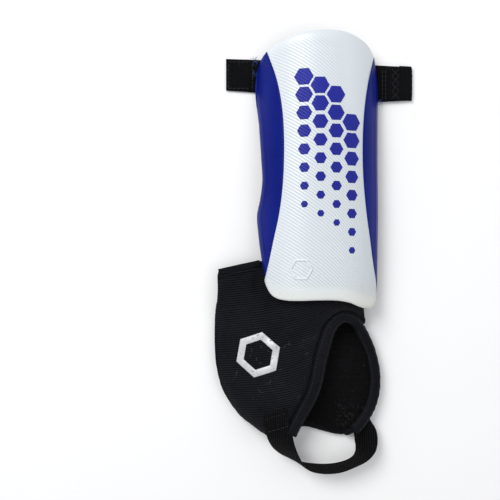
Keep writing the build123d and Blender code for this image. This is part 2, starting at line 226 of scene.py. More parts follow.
def tube_mesh(rings, closed_path=False):
    """Vertices and faces of a tube from rings of points, capped unless it closes on itself."""
    count, sides = len(rings), len(rings[0])
    vertices = [p for ring in rings for p in ring]
    faces = []
    last = count if closed_path else count - 1
    for i in range(last):
        for j in range(sides):
            a, b = i * sides + j, i * sides + (j + 1) % sides
            n = ((i + 1) % count) * sides
            faces.append((a, b, n + (j + 1) % sides, n + j))
    if not closed_path:
        faces.append(tuple(reversed(range(sides))))
        faces.append(tuple(range((count - 1) * sides, count * sides)))
    return vertices, faces


def thread(points, radius, sides=6):
    """Vertices and faces of a round thread through points."""
    points = np.asarray(points, float)
    ahead = np.gradient(points, axis=0)
    ahead /= np.linalg.norm(ahead, axis=1)[:, None] + 1e-9
    rings = []
    for p, t in zip(points, ahead):
        side = np.cross(t, (0, 0, 1.0))
        if np.linalg.norm(side) < 0.05:
            side = np.cross(t, (1.0, 0, 0))
        side /= np.linalg.norm(side)
        up = np.cross(side, t)
        turns = [2 * math.pi * k / sides for k in range(sides)]
        rings.append([p + radius * (math.cos(a) * side + math.sin(a) * up) for a in turns])
    return tube_mesh(rings)


def join(parts):
    """One list of vertices and faces from several."""
    vertices, faces = [], []
    for part_vertices, part_faces in parts:
        start = len(vertices)
        vertices += list(part_vertices)
        faces += [tuple(start + k for k in face) for face in part_faces]
    return vertices, faces


# ================= materials =================

class Look:
    """Small helper that builds one procedural material."""

    def __init__(self, name):
        self.material = bpy.data.materials.new(name)
        self.material.use_nodes = True
        self.tree = self.material.node_tree
        self.shader = self.tree.nodes["Principled BSDF"]
        place = self.tree.nodes.new("ShaderNodeAttribute")
        place.attribute_name = "place"
        self.coordinates = place.outputs["Vector"]

    def set(self, **values):
        for key, value in values.items():
            self.shader.inputs[key.replace("_", " ")].default_value = value

    def feed(self, value, socket):
        """Set a socket to a number or a colour, or link it to another node."""
        if isinstance(value, tuple):
            socket.default_value = (*value, 1.0)
        elif isinstance(value, (int, float)):
            socket.default_value = value
        else:
            self.tree.links.new(value, socket)

    def math(self, operation, a, b=0.0, c=0.0):
        node = self.tree.nodes.new("ShaderNodeMath")
        node.operation = operation
        for socket, value in zip(node.inputs, (a, b, c)):
            self.feed(value, socket)
        return node.outputs[0]

    def axes(self):
        node = self.tree.nodes.new("ShaderNodeSeparateXYZ")
        self.tree.links.new(self.coordinates, node.inputs[0])
        return node.outputs

    def attribute(self, name):
        node = self.tree.nodes.new("ShaderNodeAttribute")
        node.attribute_name = name
        return node.outputs["Fac"]

    def noise(self, scale, detail=3.0, stretch=(1, 1, 1)):
        mapping = self.tree.nodes.new("ShaderNodeMapping")
        mapping.inputs["Scale"].default_value = stretch
        self.tree.links.new(self.coordinates, mapping.inputs["Vector"])
        node = self.tree.nodes.new("ShaderNodeTexNoise")
        node.inputs["Scale"].default_value = scale
        node.inputs["Detail"].default_value = detail
        self.tree.links.new(mapping.outputs[0], node.inputs["Vector"])
        return node.outputs["Fac"]

    def ramp(self, value, stops):
        node = self.tree.nodes.new("ShaderNodeValToRGB")
        elements = node.color_ramp.elements
        while len(elements) < len(stops):
            elements.new(0.5)
        for element, (place, colour) in zip(elements, stops):
            element.position = place
            element.color = (*colour, 1.0)
        self.tree.links.new(value, node.inputs[0])
        return node.outputs[0]

    def mix(self, share, a, b, blend="MIX"):
        node = self.tree.nodes.new("ShaderNodeMix")
        node.data_type = "RGBA"
        node.blend_type = blend
        self.feed(share, node.inputs["Factor"])
        self.feed(a, node.inputs["A"])
        self.feed(b, node.inputs["B"])
        return node.outputs["Result"]

    def link(self, value, name):
        self.tree.links.new(value, self.shader.inputs[name])

    def bump(self, height, distance, strength=1.0):
        node = self.tree.nodes.new("ShaderNodeBump")
        node.inputs["Strength"].default_value = strength
        node.inputs["Distance"].default_value = distance * MM
        self.tree.links.new(height, node.inputs["Height"])
        if self.shader.inputs["Normal"].is_linked:
            earlier = self.shader.inputs["Normal"].links[0].from_socket
            self.tree.links.new(earlier, node.inputs["Normal"])
        self.tree.links.new(node.outputs[0], self.shader.inputs["Normal"])


def white_look():
    look = Look("shell_white")
    look.set(Roughness=0.34, Coat_Weight=0.25, Coat_Roughness=0.25)
    y = look.axes()["Y"]
    clean = look.ramp(look.noise(9, 4), [(0.3, (0.64, 0.69, 0.725)), (0.75, (0.70, 0.745, 0.775))])
    worn = look.ramp(look.noise(260, 6), [(0.66, (0.0, 0.0, 0.0)), (0.80, (1.0, 1.0, 1.0))])
    low = look.ramp(look.math("MULTIPLY_ADD", y, -40.0, -3.3), [(0.0, (0, 0, 0)), (1.0, (1, 1, 1))])
    cream = look.mix(low, clean, (0.70, 0.70, 0.64))
    # Painted shade: the rib valleys, given by the groove attribute, are darkened towards grey-blue.
    groove_shaded = look.mix(look.math("MULTIPLY", look.attribute("groove"), 0.5), cream, (0.40, 0.45, 0.50))
    look.link(look.mix(look.math("MULTIPLY", worn, 0.10), groove_shaded, (0.42, 0.43, 0.43)), "Base Color")
    look.bump(look.noise(900, 2), 0.02, 0.4)
    return look.material


def glossy_look(name, dark, light, roughness, coat, gloss):
    look = Look(name)
    look.set(Coat_Weight=coat, Coat_Roughness=0.12, Specular_IOR_Level=gloss)
    look.link(look.ramp(look.noise(22, 4), [(0.3, dark), (0.75, light)]), "Base Color")
    scuffs = look.noise(420, 5, (1, 0.25, 1))
    look.link(look.math("MULTIPLY_ADD", scuffs, 0.18, roughness), "Roughness")
    look.bump(look.noise(700, 2), 0.015, 0.5)
    return look.material


def rib_wave(look, phase, pitch):
    """Rounded ridge height from a distance across the ribs, in metres."""
    wave = look.math("SINE", look.math("MULTIPLY", phase, 2 * math.pi / (pitch * MM)))
    return look.math("MULTIPLY_ADD", wave, 0.5, 0.5)


def fabric_look(name, dark, light, phase_of, pitch, depth):
    """Ribbed textile: ridges across phase_of(look) with painted shade between them, fine yarn across them,
    lint, and painted seam shade.
    """
    look = Look(name)
    look.set(Roughness=0.9, Sheen_Weight=0.06, Sheen_Roughness=0.4, Specular_IOR_Level=0.08)
    broken = look.math("MULTIPLY", look.noise(900, 3, (0.22, 1, 1)), 1.5)
    ridge = look.math("MULTIPLY", rib_wave(look, phase_of(look), pitch), broken)
    yarn = look.noise(2600, 3)
    patch = look.noise(26, 5)
    base = look.ramp(patch, [(0.3, dark), (0.75, light)])
    # Painted shade: the valleys between the ribs are darkened in the colour, and the ridges keep full
    # brightness.
    shade = look.ramp(ridge, [(0.10, (0.10, 0.10, 0.10)), (0.60, (1.0, 1.0, 1.0))])
    ribbed = look.mix(0.9, base, shade, "MULTIPLY")
    lint = look.ramp(look.noise(1500, 2, (1, 0.2, 1)), [(0.70, (0, 0, 0)), (0.80, (1, 1, 1))])
    fluff = look.math("MULTIPLY", lint, 0.22)
    linted = look.mix(fluff, ribbed, (0.20, 0.20, 0.23))
    # Painted shade: points marked by the groove attribute, the sewn seam channels, are darkened almost to
    # black.
    seam_shade = look.math("MULTIPLY", look.attribute("groove"), 0.9)
    look.link(look.mix(seam_shade, linted, (0.0008, 0.0008, 0.0010)), "Base Color")
    look.bump(ridge, depth)
    look.bump(yarn, 0.08, 0.7)
    return look.material


def sleeve_phase(look):
    """Knit courses run level on the lobe and climb to the right beside the opening."""
    axes = look.axes()
    past = look.math("MAXIMUM", look.math("ADD", axes["X"], 0.050), 0.0)
    rise = look.math("MULTIPLY", look.math("MULTIPLY", past, past), 2.8)
    rise = look.math("ADD", rise, look.math("MULTIPLY", axes["X"], 0.10))
    wander = look.math("MULTIPLY", look.noise(14, 2), 0.0035)
    return look.math("ADD", look.math("SUBTRACT", axes["Y"], rise), wander)


def along_axis(name):
    return lambda look: look.axes()[name]


def plain_look(name, dark, light, roughness, bump_scale, bump_depth):
    look = Look(name)
    look.set(Roughness=roughness)
    look.link(look.ramp(look.noise(40, 4), [(0.3, dark), (0.75, light)]), "Base Color")
    look.bump(look.noise(bump_scale, 3), bump_depth)
    return look.material


def badge_look():
    look = Look("badge_silver")
    look.set(Metallic=0.25)
    worn = look.ramp(look.noise(520, 5), [(0.60, (0.62, 0.62, 0.64)), (0.72, (0.16, 0.16, 0.18))])
    look.link(worn, "Base Color")
    look.link(look.math("MULTIPLY_ADD", look.noise(300, 3), 0.3, 0.3), "Roughness")
    look.bump(look.noise(1400, 2), 0.05, 0.6)
    return look.material


# Dark and light colour, what the ribs run across, rib pitch and rib depth.
FABRICS = {
    "sleeve_fabric": ((0.0080, 0.0086, 0.0115), (0.0170, 0.0176, 0.0220), sleeve_phase, 1.7, 0.35),
    "binding_tape": ((0.0070, 0.0075, 0.0105), (0.0140, 0.0145, 0.0190), along_axis("Y"), 0.7, 0.10),
    "elastic": ((0.0035, 0.0037, 0.0050), (0.0080, 0.0083, 0.0105), along_axis("X"), 1.0, 0.15),
    "webbing": ((0.0040, 0.0040, 0.0048), (0.0090, 0.0088, 0.0098), along_axis("X"), 1.6, 0.3),
    # lining_fabric is darker than quilted_fabric: painted shade for the lining seen inside the instep
    # opening.
    "lining_fabric": ((0.0030, 0.0030, 0.0036), (0.0070, 0.0070, 0.0080), along_axis("Y"), 0.9, 0.12),
    "quilted_fabric": ((0.010, 0.010, 0.012), (0.020, 0.020, 0.023), along_axis("Y"), 0.9, 0.12),
}
# Dark and light colour, roughness, grain scale and grain depth.
PLAIN = {
    "foam": ((0.020, 0.020, 0.022), (0.034, 0.034, 0.037), 0.9, 900, 0.10),
    "hook_tape": ((0.010, 0.010, 0.012), (0.03, 0.03, 0.035), 0.7, 1800, 0.35),
    "loop_tape": ((0.014, 0.014, 0.017), (0.03, 0.03, 0.034), 0.95, 1600, 0.35),
    "thread": ((0.010, 0.010, 0.013), (0.028, 0.028, 0.034), 0.8, 3000, 0.03),
    "pale_lint": ((0.10, 0.10, 0.11), (0.20, 0.20, 0.21), 0.9, 3000, 0.02),
    "blue_fluff": ((0.05, 0.09, 0.30), (0.09, 0.15, 0.42), 0.9, 3000, 0.02),
}
LOOKS = {
    "shell_white": white_look(),
    "shell_blue": glossy_look("shell_blue", (0.0015, 0.0075, 0.145), (0.004, 0.012, 0.205), 0.22, 0.0, 0.085),
    "cell_blue": glossy_look("cell_blue", (0.011, 0.016, 0.24), (0.018, 0.024, 0.30), 0.34, 0.0, 0.20),
    "badge_silver": badge_look(),
}
LOOKS.update({name: fabric_look(name, *values) for name, values in FABRICS.items()})
LOOKS.update({name: plain_look(name, *values) for name, values in PLAIN.items()})


def remember_place(piece):
    """Store where each point lies at rest, so that a pattern stays on the piece when it bends."""
    place = np.empty(3 * len(piece.data.vertices), np.float32)
    piece.data.vertices.foreach_get("co", place)
    piece.data.attributes.new("place", "FLOAT_VECTOR", "POINT").data.foreach_set("vector", place)


def finish_piece(piece, slot, body=None, replaces=(), look=None):
    """Material and body of one piece, with the slot's own look unless another look is named."""
    remember_place(piece)
    piece.data.materials.clear()
    piece.data.materials.append(LOOKS[look or slot])
    if body:
        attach(piece, body)
    if replaces:
        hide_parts(*replaces)


# ================= shell =================

def level_height(x, y, radius):
    """Height of the bowed arch before it is tilted."""
    arch = np.sqrt(np.maximum(radius**2 - x**2, 0.0)) + ARCH_CENTRE_Z - BOW_AXIS_Z
    return np.maximum(BOW_AXIS_Z + np.sqrt(arch**2 - y**2), ARCH_EDGE_Z)


def shell_height(x, y, radius):
    """Height of the tilted arch above a point of the plan."""
    level_y = y
    for _ in range(3):
        z = level_height(x, level_y, radius)
        level_y = (y - z * math.sin(TILT)) / math.cos(TILT)
    return z * math.cos(TILT) - level_y * math.sin(TILT)


def rib_fall(x):
    """How far a rib has dropped at x."""
    around = ARCH_RADIUS * np.arcsin(np.clip(x / ARCH_RADIUS, -0.98, 0.86))
    start = math.sqrt(RIB_ARC_RADIUS**2 - RIB_ARC_CENTRE**2)
    reach = np.minimum(around - RIB_ARC_CENTRE, RIB_ARC_RADIUS * 0.97)
    return start - np.sqrt(RIB_ARC_RADIUS**2 - reach**2)


def level(value):
    """Function that gives the same value everywhere."""
    return lambda at: value + 0 * at


def level_face(z):
    """Level height over a plan."""
    return lambda x, y: z + 0 * x


def soft_step(value, low, high):
    t = np.clip((value - low) / (high - low), 0, 1)
    return t * t * (3 - 2 * t)


left_side, right_side = smooth_curve(LEFT_SIDE), smooth_curve(RIGHT_SIDE)
top_edge, low_edge = smooth_curve(TOP_EDGE), smooth_curve(LOW_EDGE)
inner_border, outer_border = smooth_curve(INNER_BORDER), smooth_curve(OUTER_BORDER)


def rib_lift(x, y):
    """Rib relief with flat lands and narrow valleys, fading at the plain margins."""
    t = np.mod((y + rib_fall(x)) / RIB_PITCH, 1.0)
    land = 1 - np.abs(2 * t - 1) ** 5
    fade = soft_step(top_edge(x) - y, 2.5, 9) * soft_step(y - low_edge(x), 7, 10.5)
    high = soft_step(y, 10, 50)
    rib_end = 27 - 15 * high
    fade = fade * (1 - 0.85 * high * soft_step(x, rib_end, rib_end + 10))
    return RIB_HEIGHT * fade * (land - 1)


def edge_drop(distance, reach=1.3, depth=0.9):
    """Rounding of a moulded edge."""
    near = np.clip(1 - distance / reach, 0, 1)
    return -depth * near**2


def plan_grid(left, right, low, high, phases, columns, fall):
    """Plan points whose rows follow the ribs and whose ends lie on the outline."""
    share = np.linspace(0, 1, columns)[None, :]
    phase = np.asarray(phases, float)[:, None]
    y = np.clip(phase - fall(np.zeros_like(share)), -110, 100) + 0 * share
    for _ in range(40):
        x = left(y) + share * (right(y) - left(y))
        y = 0.5 * y + 0.5 * np.clip(phase - fall(x), low(x), high(x))
    x = left(y) + share * (right(y) - left(y))
    return x, np.clip(y, low(x), high(x))


def box_grid(left, right, low, high, rows, columns):
    """Plan points over a level rectangle."""
    return plan_grid(level(left), level(right), level(low), level(high), rows, columns, level(0))


def slab(name, grid, upper, lower):
    """Closed piece between two height functions over a plan grid."""
    x, y = grid
    top = np.stack([x, y, upper(x, y)], -1).reshape(-1, 3)
    bottom = np.stack([x, y, lower(x, y)], -1).reshape(-1, 3)
    return make_mesh(name, np.concatenate([top, bottom]), block_faces(*x.shape))


def rib_phases(low, high):
    """Row positions that put several rows on every rib."""
    first, last = int(low // RIB_PITCH), int(high // RIB_PITCH) + 1
    return [(k + s) * RIB_PITCH for k in range(first, last) for s in RIB_STATIONS]


def mark_groove_shade(piece, depth):
    """Store how deep in a groove each point lies, as the strength of the painted groove shade in the
    materials.
    """
    attribute = piece.data.attributes.new("groove", "FLOAT", "POINT")
    attribute.data.foreach_set("value", np.clip(depth, 0, 1).astype(np.float32))


def points_of(piece):
    """Coordinates of a mesh's points, in millimetres."""
    return np.array([v.co for v in piece.data.vertices]) / MM


def border_seam(border):
    """Fine seam where the white and blue parts of the shell meet."""
    return -SEAM_DEPTH * np.exp(-((border - 0.1) / 0.5) ** 2)


def shell_underside(x, y):
    return shell_height(x, y, ARCH_RADIUS - SHELL_THICKNESS)


def build_front_plate():
    """White centre of the shell, with every rib in the mesh."""
    grid = plan_grid(inner_border, outer_border, low_edge, top_edge, rib_phases(-150, 190), 62, rib_fall)

    def upper(x, y):
        border = np.minimum(x - inner_border(y), outer_border(y) - x)
        ends = edge_drop(np.minimum(top_edge(x) - y, y - low_edge(x)))
        ribs = rib_lift(x, y) * soft_step(border, 0.0, 1.4)
        return shell_height(x, y, ARCH_RADIUS) + ribs + border_seam(border) + ends

    plate = slab("front_plate_skin", grid, upper, shell_underside)
    x, y, _ = points_of(plate).T
    # The groove attribute sets where painted shade darkens the rib valleys.
    mark_groove_shade(plate, -rib_lift(x, y) / RIB_HEIGHT)
    finish_piece(plate, "shell_white", "guard", ["front_plate"])


def build_wing(name, left, right, replaced, rim_is_left, ribbed):
    """Blue side of the shell, with a beaded rim and, on the inner side, the front plate's ribs."""
    low_y, high_y = INNER_WING_ENDS if rim_is_left else OUTER_WING_ENDS
    phases = rib_phases(-130, 110) if ribbed else np.linspace(low_y, high_y, 240)
    fall = rib_fall if ribbed else level(0)
    grid = plan_grid(left, right, level(low_y), level(high_y), phases, 22, fall)

    def upper(x, y):
        rim = (x - left(y)) if rim_is_left else (right(y) - x)
        border = (right(y) - x) if rim_is_left else (x - left(y))
        bead = 0.45 * np.exp(-((rim - 2.4) / 0.8) ** 2) * soft_step(rim + border, 4, 9)
        face = shell_height(x, y, ARCH_RADIUS) + bead + border_seam(border)
        if ribbed:
            face = face + 0.55 * rib_lift(x, y) * soft_step(rim, 4, 7) * soft_step(border, 0.0, 1.4)
        return face + edge_drop(rim)

    finish_piece(slab(name, grid, upper, shell_underside), "shell_blue", "guard", [replaced])


def build_honeycomb():
    """Ribbed hexagon inlays, one closed slab each, joined in one piece."""
    parts = []
    for column, x0 in enumerate(CELL_COLUMNS):
        steps_down = round(CELL_SLOPE * (x0 - CELL_COLUMNS[0]) / CELL_PITCH - (column % 2) / 2)
        top_y = CELL_TOP_Y - (steps_down + (column % 2) / 2) * CELL_PITCH
        for row in range(CELL_COUNT):
            y0 = top_y - row * CELL_PITCH
            radius = CELL_RADIUS_TOP + row / (CELL_COUNT - 1) * (CELL_RADIUS_LOW - CELL_RADIUS_TOP)

            def half(x):
                slant = math.sqrt(3) * np.maximum(radius - np.abs(x - x0), 0.0)
                return np.minimum(radius * math.sqrt(3) / 2, slant)

            middle = float(rib_fall(np.array(x0))) + y0
            reach = 2.4 * radius + RIB_PITCH
            phases = rib_phases(middle - reach, middle + reach)
            x, y = plan_grid(level(x0 - radius), level(x0 + radius), lambda x: y0 - half(x),
                             lambda x: y0 + half(x), phases, 17, rib_fall)
            inside = np.minimum(half(x) - np.abs(y - y0), 0.8) / 0.8
            z = shell_height(x, y, ARCH_RADIUS) + rib_lift(x, y) + CELL_PROUD * (0.3 + 0.7 * inside)
            top = np.stack([x, y, z], -1).reshape(-1, 3)
            bottom = top - np.array([0, 0, CELL_THICKNESS])
            parts.append((np.concatenate([top, bottom]), block_faces(*x.shape)))
    cells = make_mesh("honeycomb_inlay", *join(parts))
    finish_piece(cells, "cell_blue", "guard", ["honeycomb_cells"])


def hexagon_frame(name, centre, radius, rim, turn, height, proud, sink):
    """Rounded hexagonal frame that lies on a surface."""
    rings = []
    steps = 96
    profile = [(0, -sink), (0, proud * 0.5), (0.12, proud), (0.88, proud), (1, proud * 0.5), (1, -sink)]
    for k in range(steps):
        angle = 2 * math.pi * k / steps
        sector = (angle % (math.pi / 3)) - math.pi / 6
        outer = radius * math.cos(math.pi / 6) / math.cos(sector)
        inner = outer - rim / math.cos(sector)
        ring = []
        for share, lift in profile:
            r = inner + share * (outer - inner)
            x = centre[0] + r * math.cos(angle + turn)
            y = centre[1] + r * math.sin(angle + turn)
            ring.append((x, y, float(height(np.array(x), np.array(y))) + lift))
        rings.append(ring)
    return make_mesh(name, *tube_mesh(rings, closed_path=True))


def build_emblem():
    """Small hexagon moulded in the lower front plate."""
    def height(x, y):
        return shell_height(x, y, ARCH_RADIUS) + rib_lift(x, y)

    emblem = hexagon_frame("embossed_hexagon", EMBLEM_CENTRE, EMBLEM_RADIUS, EMBLEM_RIM, 0.0, height,
                           0.5, 0.5)
    finish_piece(emblem, "shell_white", "guard", ["hexagon_emblem"])


def build_backing():
    """Foam sheet and quilted lining behind the shell."""
    def inward(edge):
        return lambda at: BACKING_INSET * edge(at / BACKING_INSET)

    grid = plan_grid(inward(left_side), inward(right_side), inward(low_edge), inward(top_edge),
                     np.linspace(-106, 96, 150), 90, level(0))
    foam_top = ARCH_RADIUS - SHELL_THICKNESS - 0.05
    foam_low = foam_top - FOAM_THICKNESS
    foam = slab("foam_backing", grid, lambda x, y: shell_height(x, y, foam_top) + 0.4,
                lambda x, y: shell_height(x, y, foam_low))
    finish_piece(foam, "foam", "guard", ["backing_foam"])

    def quilted(x, y):
        puff = np.abs(np.sin(math.pi * (x + y) / QUILT_PITCH))
        puff = puff * np.abs(np.sin(math.pi * (x - y) / QUILT_PITCH))
        return shell_height(x, y, foam_low - LINING_THICKNESS) - 0.5 * puff**0.5

    lining = slab("quilted_lining", grid, lambda x, y: shell_height(x, y, foam_low - 0.1) - 0.1, quilted)
    finish_piece(lining, "lining_fabric", "guard", ["backing_lining"], "quilted_fabric")


def build_loop_patch():
    """Loop tape inside the inner edge, with a nap of small loops."""
    radius = SHELL_INSIDE_RADIUS - 0.5
    grid = box_grid(-37, -28, 50.5, 79, np.linspace(50, 80, 60), 24)

    def nap(x, y):
        return shell_height(x, y, radius - LOOP_TAPE_THICKNESS) + 0.12 * np.sin(x * 6) * np.sin(y * 6)

    patch = slab("loop_tape_patch", grid, lambda x, y: shell_height(x, y, radius), nap)
    finish_piece(patch, "loop_tape", "guard", ["loop_patch"])


# ================= sleeve =================

def arch_top(x, y):
    """Top of the front layer: along the shell's inside, flat beside it, arched past its end."""
    arch = SLEEVE_CROWN_Z - SLEEVE_RADIUS + np.sqrt(SLEEVE_RADIUS**2 - (x - SLEEVE_X) ** 2)
    flat = 2 * SLEEVE_LAYER + 0.15
    arch = flat + np.log1p(np.exp((arch - flat) / 0.8)) * 0.8
    under_shell = shell_height(x, np.maximum(y, -100.0), SHELL_INSIDE_RADIUS - 1.4)
    collar = flat + np.log1p(np.exp((under_shell - flat) / 0.8)) * 0.8
    return collar + (arch - collar) * soft_step(-y, 100, 122)


def layer_middle(x, y):
    """Height of the middle of the front layer at one point."""
    return float(arch_top(np.array(x), np.array(y))) - SLEEVE_LAYER / 2 + 0.1


def front_underside(x, y):
    """Lower face of the front layer, an even distance inside the upper one."""
    small = 0.5
    slope_x = (arch_top(x + small, y) - arch_top(x - small, y)) / (2 * small)
    slope_y = (arch_top(x, y + small) - arch_top(x, y - small)) / (2 * small)
    return arch_top(x, y) - (SLEEVE_LAYER - 0.6) * np.sqrt(1 + slope_x**2 + 0.5 * slope_y**2)


def inside_polygon(x, y, polygon):
    """Which points lie in a closed plan outline."""
    inside = np.zeros(x.shape, bool)
    for (x0, y0), (x1, y1) in zip(polygon, np.roll(polygon, -1, 0)):
        crosses = (y0 > y) != (y1 > y)
        at = (x1 - x0) * (y - y0) / (y1 - y0 + 1e-12) + x0
        inside ^= crosses & (x < at)
    return inside


def nearest_on(points, line):
    """Nearest points on an open line, and how far away they are."""
    best = np.full(len(points), 1e9)
    found = points.copy()
    for p, q in zip(line[:-1], line[1:]):
        edge = q - p
        t = np.clip(((points - p) @ edge) / (edge @ edge + 1e-12), 0, 1)
        near = p + t[:, None] * edge
        distance = np.linalg.norm(points - near, axis=1)
        closer = distance < best
        best[closer] = distance[closer]
        found[closer] = near[closer]
    return found, best


def distance_to(x, y, line):
    """Distance from points to a plan line."""
    return nearest_on(np.stack([x, y], 1), np.array(line, float))[1]


def outline_slab(outline, holes, upper, lower, step):
    """Vertices and faces of a slab whose plan is an outline less its holes."""
    xs = np.arange(-84, 54, step)
    ys = np.arange(-208, -62, step)
    gx, gy = np.meshgrid(xs, ys)
    centre_x, centre_y = gx[:-1, :-1] + step / 2, gy[:-1, :-1] + step / 2
    keep = inside_polygon(centre_x, centre_y, outline)
    for hole in holes:
        keep &= ~inside_polygon(centre_x, centre_y, hole)
    columns = len(xs)
    used, edges = {}, {}
    cells = []
    for i, j in zip(*np.nonzero(keep)):
        corners = [i * columns + j, i * columns + j + 1, (i + 1) * columns + j + 1, (i + 1) * columns + j]
        cells.append([used.setdefault(c, len(used)) for c in corners])
        for a, b in zip(cells[-1], cells[-1][1:] + cells[-1][:1]):
            key = (min(a, b), max(a, b))
            edges.setdefault(key, []).append((a, b))
    ids = np.array(sorted(used, key=used.get))
    points = np.stack([gx.ravel()[ids], gy.ravel()[ids]], 1)
    rim = [pair[0] for pair in edges.values() if len(pair) == 1]
    rim_points = sorted({k for pair in rim for k in pair})
    for line in [outline, *holes]:
        near, distance = nearest_on(points[rim_points], np.concatenate([line, line[:1]]))
        close = distance < step * 1.1
        moved = points[rim_points]
        moved[close] = near[close]
        points[rim_points] = moved
    count = len(points)
    top = np.column_stack([points, upper(points[:, 0], points[:, 1])])
    bottom = np.column_stack([points, lower(points[:, 0], points[:, 1])])
    faces = [tuple(c) for c in cells] + [tuple(count + k for k in reversed(c)) for c in cells]
    faces += [(b, a, count + a, count + b) for a, b in rim]
    return np.concatenate([top, bottom]), faces


def sleeve_outline():
    """Plan of the whole sleeve, clockwise from the hem's left end."""
    side = smooth_path(LOBE_SIDE, 70) - np.array([0.8, 0])
    heel = np.array([(-10, -194.5), (4, -198), (17, -200.6)])
    limb = smooth_path(OUTER_LIMB, 60)[::-1]
    top = np.array([(37.2, -119), (35.4, -110), (33.6, -96), (31, -69.6), (-44, -69.4), (-74.8, -76.2)])
    return np.concatenate([side, heel, limb[:-2], top])


def opening_outline():
    """Plan of the instep opening, just inside the binding's centre line, run out past the heel."""
    path = smooth_path(BINDING_PATH, 80)
    return np.concatenate([path, np.array([(24, -215), (-22, -215)])])


def inflate(piece, cap):
    """Pressure puffs the padded cloth out, each point moving no further than the cap."""
    start = np.array([v.co for v in piece.data.vertices])
    cloth = piece.modifiers.new("cloth", "CLOTH")
    cloth.settings.quality = 5
    cloth.settings.mass = 0.3
    cloth.settings.tension_stiffness = 12
    cloth.settings.compression_stiffness = 10
    cloth.settings.bending_stiffness = 0.4
    cloth.settings.use_pressure = True
    cloth.settings.uniform_pressure_force = 4
    cloth.settings.effector_weights.gravity = 0
    cloth.collision_settings.use_collision = False
    cloth.point_cache.frame_start = 1
    cloth.point_cache.frame_end = CLOTH_FRAMES
    for number in range(1, CLOTH_FRAMES + 1):
        bpy.context.scene.frame_set(number)
    shaped = piece.evaluated_get(bpy.context.evaluated_depsgraph_get())
    moved = np.array([v.co for v in shaped.data.vertices])
    piece.modifiers.remove(cloth)
    shift = moved - start
    length = np.linalg.norm(shift, axis=1)[:, None] + 1e-12
    shift *= np.minimum(length, cap * MM) / length
    piece.data.vertices.foreach_set("co", (start + shift).ravel())
    piece.data.update()
    bpy.context.scene.frame_set(1)


def apply_modifier(piece, kind, **settings):
    """Add one modifier and apply it at once."""
    modifier = piece.modifiers.new(kind.lower(), kind)
    for key, value in settings.items():
        setattr(modifier, key, value)
    shaped = piece.evaluated_get(bpy.context.evaluated_depsgraph_get())
    mesh = bpy.data.meshes.new_from_object(shaped)
    piece.modifiers.clear()
    piece.data = mesh


def shape_sleeve(piece):
    """Sewn channels, soft wrinkles and the flattened underside, after the cloth has settled."""
    x, y, z = points_of(piece).T
    upper = soft_step(z, 6.5, 9.0)
    seam = distance_to(x, y, smooth_path(BINDING_PATH, 60))
    channel = -2.6 * np.exp(-((seam - SEAM_SETBACK) / 1.1) ** 2)
    channel += -0.8 * np.exp(-distance_to(x, y, HEM_SEAM) ** 2)
    channel += -0.9 * np.exp(-(distance_to(x, y, TAB_SEAM) / 2.2) ** 2)
    drape = np.exp(-((x + 14) / 30) ** 2 - ((y + 128) / 24) ** 2)
    folds = 1.1 * drape * np.sin((0.87 * y - 0.5 * x) / 2.3 + 0.9 * np.sin(x / 11))
    folds += 0.7 * np.sin((x + 0.55 * y) / 7.5 + 1.2 * np.sin(y / 19)) * soft_step(-y, 120, 160)
    folds += 0.45 * np.sin((x - 0.9 * y) / 11.0 + 0.8 * np.sin(x / 13))
    folds *= soft_step(seam, 4, 12) * soft_step(-y, 78, 96)
    side = distance_to(x, y, smooth_path(LOBE_SIDE, 60))
    channel += -4.5 * np.clip(1 - side / 11, 0, 1) ** 2.5 * soft_step(-y, 100, 122)
    z += upper * (channel + folds)
    beside_shell = soft_step(y, -100, -92) * soft_step(x, -50, -46) * (1 - soft_step(x, -41, -37))
    z = np.where(z > 6, z - beside_shell * np.maximum(z - 8.6, 0), z)
    z = np.maximum(z, 0.0)
    piece.data.vertices.foreach_set("co", (np.stack([x, y, z], 1) * MM).ravel())
    piece.data.update()


def build_sleeve():
    """Both layers of the sleeve as one padded body, and a function for the height of its upper face."""
    outline = sleeve_outline()
    front = outline_slab(outline, [opening_outline()], lambda x, y: arch_top(x, y) - 1.3, front_underside,
                         SLEEVE_STEP)
    back = outline_slab(outline, [], level_face(BACK_LAYER_TOP), level_face(BACK_LAYER_LOW), SLEEVE_STEP)
    fold = thread([(x + 4.2, y, EDGE_FOLD_Z) for x, y in smooth_path(LOBE_SIDE[:-2], 60)], 3.7, 12)
    limb = thread([(x - 3.6, y, EDGE_FOLD_Z) for x, y in smooth_path(OUTER_LIMB, 50)], 3.0, 12)
    sleeve = make_mesh("ankle_sleeve", *join([front, back, fold, limb]))
    apply_modifier(sleeve, "REMESH", mode="VOXEL", voxel_size=SLEEVE_VOXEL * MM)
    apply_modifier(sleeve, "SMOOTH", factor=0.5, iterations=4)
    inflate(sleeve, CLOTH_CAP)
    shape_sleeve(sleeve)
    apply_modifier(sleeve, "SUBSURF", levels=1)
    x, y, z = points_of(sleeve).T
    seam = distance_to(x, y, smooth_path(BINDING_PATH, 60))
    # Painted shade along the sewn channel beside the binding and along the hem seam, stored as the groove
    # attribute.
    shade = np.exp(-((seam - 4.8) / 0.8) ** 2) + 0.6 * np.exp(-(distance_to(x, y, HEM_SEAM) / 0.8) ** 2)
    mark_groove_shade(sleeve, shade * soft_step(z, 6.5, 8.5))
    sleeve.data.polygons.foreach_set("use_smooth", [True] * len(sleeve.data.polygons))
    layers = ["fabric", "padding", "ankle_disc", "lining"]
    nodes = [f"sleeve_{side}_{layer}" for side in ("front", "back") for layer in layers]
    finish_piece(sleeve, "sleeve_fabric", replaces=[*nodes, "collar_flap", "collar_back", "collar_band"])
    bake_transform(sleeve)
    corners = [v.co for v in sleeve.data.vertices]
    surface = BVHTree.FromPolygons(corners, [f.vertices for f in sleeve.data.polygons])

    def height(x, y):
        hit = surface.ray_cast(Vector((float(x) * MM, float(y) * MM, 0.1)), Vector((0, 0, -1)))[0]
        return hit.z / MM if hit else float(arch_top(np.array(x), np.array(y)))
    return height


